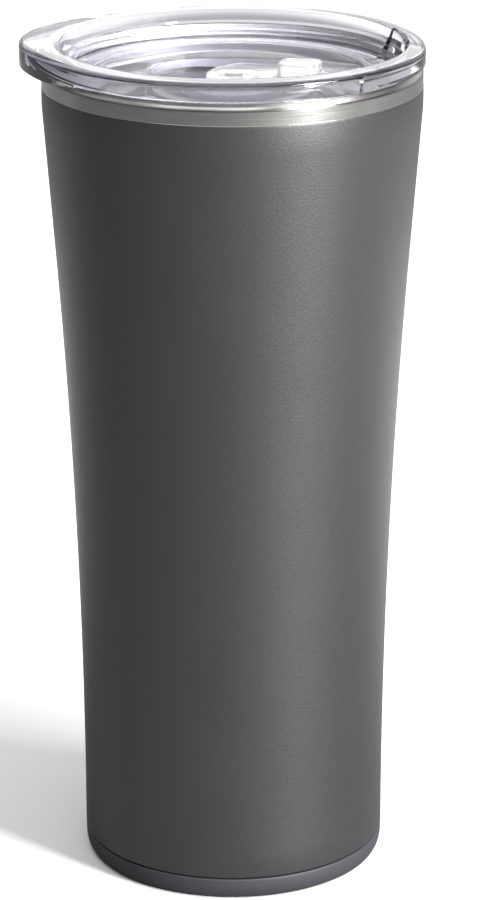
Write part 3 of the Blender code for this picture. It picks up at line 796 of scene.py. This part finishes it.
def pull_tab(mesh):
    """Draws the flange out into the lift tab, and thickens it downward outside the lip."""
    full = FLANGE_RADIUS - FLANGE_ROUND
    tiny = 0.00002
    for point in mesh.vertices:
        radius = sqrt(point.co.x**2 + point.co.y**2)
        if radius <= PLUG_RADIUS or point.co.z < FLANGE_BOTTOM - 0.0002:
            continue
        away = abs(asin(max(-1.0, min(1.0, point.co.y / radius))))
        if point.co.x > 0:
            away = pi - away
        if point.co.z < FLANGE_BOTTOM + TAB_EDGE + tiny and radius > TAB_INNER_RADIUS + tiny:
            turn = (TAB_DROP_START - away) / (TAB_DROP_START - TAB_DROP_FULL)
            turn = max(0.0, min(1.0, turn))
            point.co.z -= TAB_DROP * turn**2 * (3 - 2 * turn)
        if point.co.z < FLANGE_BOTTOM + tiny and radius < TAB_INNER_RADIUS + 4 * tiny:
            continue
        share = min(1.0, (radius - PLUG_RADIUS) / (full - PLUG_RADIUS))
        reach = 1 + share * TAB_REACH * exp(-((away / TAB_SPREAD) ** 2) / 2) / radius
        point.co.x *= reach
        point.co.y *= reach


def track_outline(inset, tip=None, tip_radius=None):
    """The track from above: round at one end, following the well's wall at the other."""
    half = TRACK_HALF_WIDTH - inset
    reach = TRACK_REACH - inset
    swing = degrees(asin(half / reach))
    outline = arc((0, 0), reach, -swing, swing, 16)
    if tip is None:
        return outline + arc((TRACK_END_X, 0), half, 90, 270, 40)
    turn = degrees(asin(half / tip_radius))
    return outline + arc((tip + tip_radius, 0), tip_radius, 180 - turn, 180 + turn, 32)


def rounded_rectangle(centre_x, length, width, corner, steps=8):
    """A rectangle with round corners, seen from above."""
    x, y = length / 2 - corner, width / 2 - corner
    outline = []
    for i, j, start in ((x, -y, -90), (x, y, 0), (-x, y, 90), (-x, -y, 180)):
        outline += arc((centre_x + i, j), corner, start, start + 90, steps)
    return outline


def loft_points(name, loops):
    """A solid through loops of equal point counts, closed at both ends."""
    bm = bmesh.new()
    loops = [[bm.verts.new(point) for point in loop] for loop in loops]
    for lower, upper in zip(loops, loops[1:]):
        for i in range(len(lower)):
            j = (i + 1) % len(lower)
            bm.faces.new((lower[i], lower[j], upper[j], upper[i]))
    bm.faces.new(list(reversed(loops[0])))
    bm.faces.new(loops[-1])
    bmesh.ops.recalc_face_normals(bm, faces=bm.faces)
    mesh = bpy.data.meshes.new(name)
    bm.to_mesh(mesh)
    bm.free()
    return mesh_object(name, mesh)


def loft(name, rings):
    """A solid through stacked outlines, given as (height, outline)."""
    return loft_points(name, [[(x, y, z) for x, y in outline] for z, outline in rings])


def combine(obj, other, operation):
    """Cuts or joins another solid, then removes it."""
    step = obj.modifiers.new(other.name, "BOOLEAN")
    step.operation = operation
    step.object = other
    apply_modifiers(obj)
    bpy.data.objects.remove(other, do_unlink=True)


def eased(low, high, bottom_round, top_round, steps=6):
    """(height, inset) pairs of a pocket whose foot and top edge are both rounded."""
    pairs = []
    for i in range(steps + 1):
        a = radians(90 * i / steps)
        pairs.append((low + bottom_round * (1 - cos(a)), bottom_round * (1 - sin(a))))
    for i in range(steps + 1):
        a = radians(84 * i / steps)
        pairs.append((high - top_round * (1 - sin(a)), -top_round * (1 - cos(a))))
    pairs.append((high + 4 * CUT_OVER, pairs[-1][1]))
    return pairs


def make_spout_cutter():
    """Sector that scoops the well's wall outward."""
    section = [(SPOUT_INNER_RADIUS, LID_FLOOR - SPOUT_SINK)]
    section += [(SPOUT_FOOT_RADIUS - inset, LID_FLOOR + rise) for inset, rise in SPOUT_FOOT]
    section += [(SPOUT_TOP_RADIUS + out, LID_TOP + rise) for out, rise in SPOUT_LIP]
    section += [(SPOUT_INNER_RADIUS, LID_TOP + SPOUT_OVER)]
    turns = [SPOUT_HALF_ANGLE * (2 * i / SPOUT_STEPS - 1) for i in range(SPOUT_STEPS + 1)]
    loops = [[(r * cos(a), r * sin(a), z) for r, z in section] for a in turns]
    return loft_points("spout_cutter", loops)


def make_lid():
    """The lid with its track, guide slot, drink hole and scooped side."""
    lid = turned_solid("clear_lid", lid_outline(), clear_plastic)
    pull_tab(lid.data)
    tub_low = TRACK_FLOOR - TRACK_WALL
    tub = [(tub_low + rise, inset) for rise, inset in TUB_FOOT]
    tub += [(LID_FLOOR - LID_FLOOR_WALL / 2, 0)]
    rings = [(z, track_outline(inset - TRACK_SIDE_WALL)) for z, inset in tub]
    combine(lid, loft("track_tub", rings), "UNION")
    combine(lid, make_spout_cutter(), "DIFFERENCE")
    pocket = eased(TRACK_FLOOR, LID_FLOOR, TRACK_FOOT_ROUND, TRACK_TOP_ROUND)
    combine(lid, loft("track", [(z, track_outline(inset)) for z, inset in pocket]), "DIFFERENCE")
    slot_size = (STEM_LENGTH + SLIDE_TRAVEL + SLOT_SLACK, 2 * SLOT_HALF_WIDTH)
    slot = rounded_rectangle(STEM_X - SLIDE_TRAVEL / 2, *slot_size, SLOT_CORNER, 4)
    combine(lid, loft("slot", [(tub_low - CUT_OVER, slot), (LID_TOP, slot)]), "DIFFERENCE")
    mouth = eased(tub_low - 2 * CUT_OVER, TRACK_FLOOR, 0.0, DRINK_HOLE_ROUND, 3)
    rings = []
    for z, inset in mouth[3:]:
        size = (DRINK_HOLE_LENGTH - 2 * inset, DRINK_HOLE_WIDTH - 2 * inset)
        rings.append((z, rounded_rectangle(DRINK_HOLE_X, *size, DRINK_HOLE_CORNER - inset)))
    combine(lid, loft("drink_hole", rings), "DIFFERENCE")
    mend(lid.data)
    lid.data.shade_smooth()
    lid.data.set_sharp_from_angle(angle=SHARP_PLASTIC)
    lid.data.materials.append(satin_plastic)
    for face in lid.data.polygons:
        if face.normal.z < FACES_DOWN and face.center.z < LID_FLOOR:
            face.material_index = 1
    return lid


lid = make_lid()
finished(lid, "lid", "lid_body")

# ---------------------------------------------------------------------------------------
# Lid gasket. A milky silicone ring moulded with two soft fins, stretched over the plug into
# its groove. The fins wipe the liner's bore, which seals the lid and holds it in place.

GASKET_INNER_STEP, GASKET_ROOT_STEP = 0.0003, 0.0002
FIN_ROUND, FIN_INSET = 0.00022, 0.00035

silicone = clear_material(
    "clear_silicone", (0.93, 0.93, 0.94), (0.25, 0.35), (0.8, 0.8, 0.82), 60, (0.8, 0.8, 0.82)
)


def gasket_section():
    """Closed section with two rounded fins."""
    low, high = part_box("lid_gasket")
    tip = high.x
    root = PLUG_RADIUS - GASKET_ROOT_STEP
    inner = GROOVE_RADIUS + GASKET_INNER_STEP
    points = [(inner, high.z), (root, high.z)]
    points += arc((tip - FIN_ROUND, high.z - FIN_INSET), FIN_ROUND, 60, -60, 6)
    points += [(root, (low.z + high.z) / 2)]
    points += arc((tip - FIN_ROUND, low.z + FIN_INSET), FIN_ROUND, 60, -60, 6)
    points += [(root, low.z), (inner, low.z)]
    return points


gasket = turned_wall("silicone_gasket", gasket_section(), silicone)
finished(gasket, "lid", "lid_gasket")

# ---------------------------------------------------------------------------------------
# Slider. A clear moulded plate that closes the drink hole. It has a round button over its
# stem and a thumb grip, drafted and rounded, that stands up for the fingertip.

SLIDER_LOW, SLIDER_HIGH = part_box("slider")
SLIDER_UNDER = TRACK_FLOOR + 0.0003
SLIDER_TOP = 0.1939
SLIDER_CLEARANCE, SLIDER_EDGE = 0.00035, 0.00035
SLIDER_TIP_X, SLIDER_TIP_RADIUS = SLIDER_LOW.x, 0.013
BUTTON_X, BUTTON_RADIUS, BUTTON_RISE = 0.001, 0.0052, 0.0006
GRIP_X, GRIP_LENGTH, GRIP_WIDTH = 0.016, 0.0112, 0.014
GRIP_WALL = 0.0011
GRIP_CORNER, GRIP_HOLLOW_CORNER = 0.002, 0.001
STEM_WIDTH = 0.003
BARB_REACH, BARB_HEIGHT = 0.0014, 0.0009
OVERLAP = 0.0005

# The button's rounded side, from its foot up: height over the plate, inset of the radius.
BUTTON_SIDE = ((-0.0005, 0), (0.00005, 0), (0.0004, 0.0009), (0.00055, 0.0012))
BUTTON_FACE_INSET = 0.0016

# The grip's waisted sides, from its foot up: height over the plate, inset at each end and side.
GRIP_SIDES = ((-0.0005, 0, 0), (0.0001, 0, 0), (0.00035, 0.0006, 0.0003), (0.0009, 0.001, 0.0007))
GRIP_SIDES += ((0.0016, 0.0011, 0.0012), (0.0024, 0.0009, 0.0018), (0.003, 0.0009, 0.0023))
GRIP_SIDES += ((0.0033, 0.0011, 0.0026), (SLIDER_HIGH.z - SLIDER_TOP, 0.0016, 0.0031))

slider_plastic = clear_material(
    "slider_plastic", (0.985, 0.985, 0.985), (0.01, 0.03), (0.82, 0.82, 0.82), 25,
    (0.94, 0.94, 0.94), clarity=0.92,
)


def box_outline(centre_x, length, width):
    """A plain rectangle seen from above."""
    x, y = length / 2, width / 2
    return [(centre_x + i, j) for i, j in ((x, -y), (x, y), (-x, y), (-x, -y))]


def plate_rings():
    """Stacked outlines of the plate, with its lower and upper edges rounded alike."""
    rings = []
    for i in range(5):
        a = radians(90 * i / 4)
        rings.append((SLIDER_UNDER + SLIDER_EDGE * (1 - cos(a)), SLIDER_EDGE * (1 - sin(a))))
    for i in range(5):
        a = radians(90 * i / 4)
        rings.append((SLIDER_TOP - SLIDER_EDGE * (1 - sin(a)), SLIDER_EDGE * (1 - cos(a))))
    side, tip = SLIDER_CLEARANCE, SLIDER_TIP_X
    return [(z, track_outline(side + k, tip + k, SLIDER_TIP_RADIUS)) for z, k in rings]


def button_rings():
    """Stacked circles of the low round button."""
    side = [(SLIDER_TOP + rise, BUTTON_RADIUS - inset) for rise, inset in BUTTON_SIDE]
    side += [(SLIDER_TOP + BUTTON_RISE, BUTTON_RADIUS - BUTTON_FACE_INSET)]
    return [(z, arc((BUTTON_X, 0), r, 0, 360 - 360 / 64, 63)) for z, r in side]


def grip_rings():
    """Stacked outlines of the thumb grip."""
    rings = []
    for rise, end, side in GRIP_SIDES:
        size = (GRIP_LENGTH - 2 * end, GRIP_WIDTH - 2 * side)
        outline = rounded_rectangle(GRIP_X, *size, GRIP_CORNER + end * 0.3)
        rings.append((SLIDER_TOP + rise, outline))
    return rings


def grip_hollow_rings():
    """Stacked outlines of the hollow that cores the grip from below, an even wall inside it."""
    rings = []
    for rise, end, side in GRIP_SIDES:
        size = (GRIP_LENGTH - 2 * (end + GRIP_WALL), GRIP_WIDTH - 2 * (side + GRIP_WALL))
        z = SLIDER_UNDER - CUT_OVER if rise < 0 else SLIDER_TOP + rise - GRIP_WALL
        rings.append((z, rounded_rectangle(GRIP_X, *size, GRIP_HOLLOW_CORNER)))
    return rings


def make_slider():
    """Plate, button, grip, stem and barb as one moulding."""
    slider = loft("clear_slider", plate_rings())
    slider.data.materials.append(slider_plastic)
    combine(slider, loft("button", button_rings()), "UNION")
    combine(slider, loft("grip", grip_rings()), "UNION")
    combine(slider, loft("grip_hollow", grip_hollow_rings()), "DIFFERENCE")
    stem = box_outline(STEM_X, STEM_LENGTH, STEM_WIDTH)
    stem_rings = [(SLIDER_LOW.z, stem), (SLIDER_UNDER + OVERLAP, stem)]
    combine(slider, loft("stem", stem_rings), "UNION")
    barb = box_outline(STEM_X, STEM_LENGTH + BARB_REACH, STEM_WIDTH)
    barb_rings = [(SLIDER_LOW.z, barb), (SLIDER_LOW.z + BARB_HEIGHT, barb)]
    combine(slider, loft("barb", barb_rings), "UNION")
    mend(slider.data)
    slider.data.shade_smooth()
    slider.data.set_sharp_from_angle(angle=SHARP_PLASTIC)
    return slider


slider = make_slider()
finished(slider, "slider", "slider")

# ---------------------------------------------------------------------------------------
# Retainer. A small clip of the same clear plastic, pushed on the slider's stem from below
# the track, where its barb holds it. It shows only with the lid off, so the solid stays.

refinish("slider_retainer", slider_plastic)

# ---------------------------------------------------------------------------------------
# The studio: a white table that runs out of view, with painted shade round the cup and
# painted window light in its colour, a soft key and a broad light from the right, weak ones
# behind and overhead, a room that is white behind the cup and dim in front of it, and the camera.

CAMERA_TURN = radians(12.4)
CAMERA_PITCH = radians(18.38)
CAMERA_LENS = 145.15
CAMERA_PLACE = (0.1815, -0.8076, 0.3765)
WINDOW_TURN = CAMERA_TURN + radians(170)
WINDOW_SIDE = (sin(WINDOW_TURN), -cos(WINDOW_TURN), 0)
TABLE_HALF, TABLE_DROP = 6.0, 0.00005

# Softboxes: name, degrees round the cup from the camera's side to its right, degrees up,
# distance, size and watts.
LAMPS = (
    ("key", 47, 14, 1.5, (0.18, 0.6), 52),
    ("high_side", 62, 48, 1.5, (0.5, 0.5), 24),
    ("back", 184, 22, 1.6, (1.8, 0.35), 3.2),
    ("front_ceiling", -20, 58, 1.5, (1.4, 0.5), 4),
    ("overhead", 60, 86, 1.4, (1.3, 1.3), 8),
)
LAMP_AIM = Vector((0, 0, 0.11))

scene = bpy.context.scene
camera_data = bpy.data.cameras.new("camera")
camera_data.lens = CAMERA_LENS
camera_data.clip_start = 0.01
camera = bpy.data.objects.new("camera", camera_data)
scene.collection.objects.link(camera)
camera.location = CAMERA_PLACE
camera.rotation_euler = (pi / 2 - CAMERA_PITCH, 0, CAMERA_TURN)
scene.camera = camera
scene.view_settings.view_transform = "Standard"


def toward_window(node, link, place, start, full, low, high):
    """A value that rises toward the bright side of the room."""
    facing = node("ShaderNodeVectorMath")
    facing.operation = "DOT_PRODUCT"
    facing.inputs[1].default_value = WINDOW_SIDE
    link(place, facing.inputs[0])
    return spread(node, link, facing.outputs["Value"], start, full, low, high, eased_ends=True)


def joined(node, link, operation, first, second):
    """One value from two, such as the larger."""
    made = node("ShaderNodeMath")
    made.operation = operation
    link(first, made.inputs[0])
    link(second, made.inputs[1])
    return made.outputs["Value"]


def make_painted_light_table():
    """White paper whose colour holds painted light: for camera rays, painted shade darkens it round
    the cup, where its shadow falls, and painted light makes it lighter far off; for bounce rays, a
    painted pool of window light makes it lighter toward the window and near the cup.
    """
    white, shader, node, link = new_material("painted_light_paper")
    shader.inputs["Roughness"].default_value = 0.9
    shader.inputs["Specular IOR Level"].default_value = 0.2
    rays = node("ShaderNodeLightPath")
    diffuse, glossy = rays.outputs["Is Diffuse Ray"], rays.outputs["Is Glossy Ray"]
    place = node("ShaderNodeTexCoord").outputs["Object"]
    reach = node("ShaderNodeVectorMath")
    reach.operation = "LENGTH"
    link(place, reach.inputs[0])
    distance = reach.outputs["Value"]
    # Painted light for bounce rays: the colour is lighter toward the window behind the cup and dims
    # away from the cup.
    painted_window_light = toward_window(node, link, place, 0.0, 0.38, 0.2, 0.72)
    painted_bounce_falloff = spread(node, link, distance, 0.45, 0.61, 0.75, 0.28, eased_ends=True)
    painted_light_mix = node("ShaderNodeMix")
    link(joined(node, link, "MAXIMUM", diffuse, glossy), painted_light_mix.inputs["Factor"])
    # Painted shade for camera rays: the colour is darker round the cup, where its shadow falls, and
    # lighter far off.
    link(spread(node, link, distance, 0.15, 0.6, 0.74, 0.97), painted_light_mix.inputs["A"])
    link(joined(node, link, "MINIMUM", painted_window_light, painted_bounce_falloff), painted_light_mix.inputs["B"])
    link(painted_light_mix.outputs["Result"], shader.inputs["Base Color"])
    return white


table_mesh = bpy.data.meshes.new("table")
corners = [(-1, -1), (1, -1), (1, 1), (-1, 1)]
corners = [(x * TABLE_HALF, y * TABLE_HALF, -TABLE_DROP) for x, y in corners]
table_mesh.from_pydata(corners, [], [(0, 1, 2, 3)])
table_mesh.materials.append(make_painted_light_table())
table = mesh_object("table", table_mesh)


def softbox(name, azimuth, elevation, distance, size, power):
    """A rectangular lamp that faces the cup."""
    data = bpy.data.lights.new(name, "AREA")
    data.shape = "RECTANGLE"
    data.size, data.size_y = size
    data.energy = power
    turn = CAMERA_TURN + radians(azimuth)
    rise = radians(elevation)
    away = Vector((sin(turn) * cos(rise), -cos(turn) * cos(rise), sin(rise)))
    lamp = bpy.data.objects.new(name, data)
    lamp.location = LAMP_AIM + away * distance
    lamp.rotation_euler = away.to_track_quat("Z", "Y").to_euler()
    scene.collection.objects.link(lamp)


for row in LAMPS:
    softbox(*row)

world = bpy.data.worlds.new("room")
scene.world = world
world.use_nodes = True
node, link = world.node_tree.nodes.new, world.node_tree.links.new
direction = node("ShaderNodeTexCoord").outputs["Generated"]
window = toward_window(node, link, direction, 0.35, 0.98, 0.15, 0.95)
axes = node("ShaderNodeSeparateXYZ")
link(direction, axes.inputs["Vector"])
ceiling = spread(node, link, axes.outputs["Z"], 0.1, 0.55, 0.0, 0.6, eased_ends=True)
room = joined(node, link, "MAXIMUM", window, ceiling)
link(room, world.node_tree.nodes["Background"].inputs["Color"])
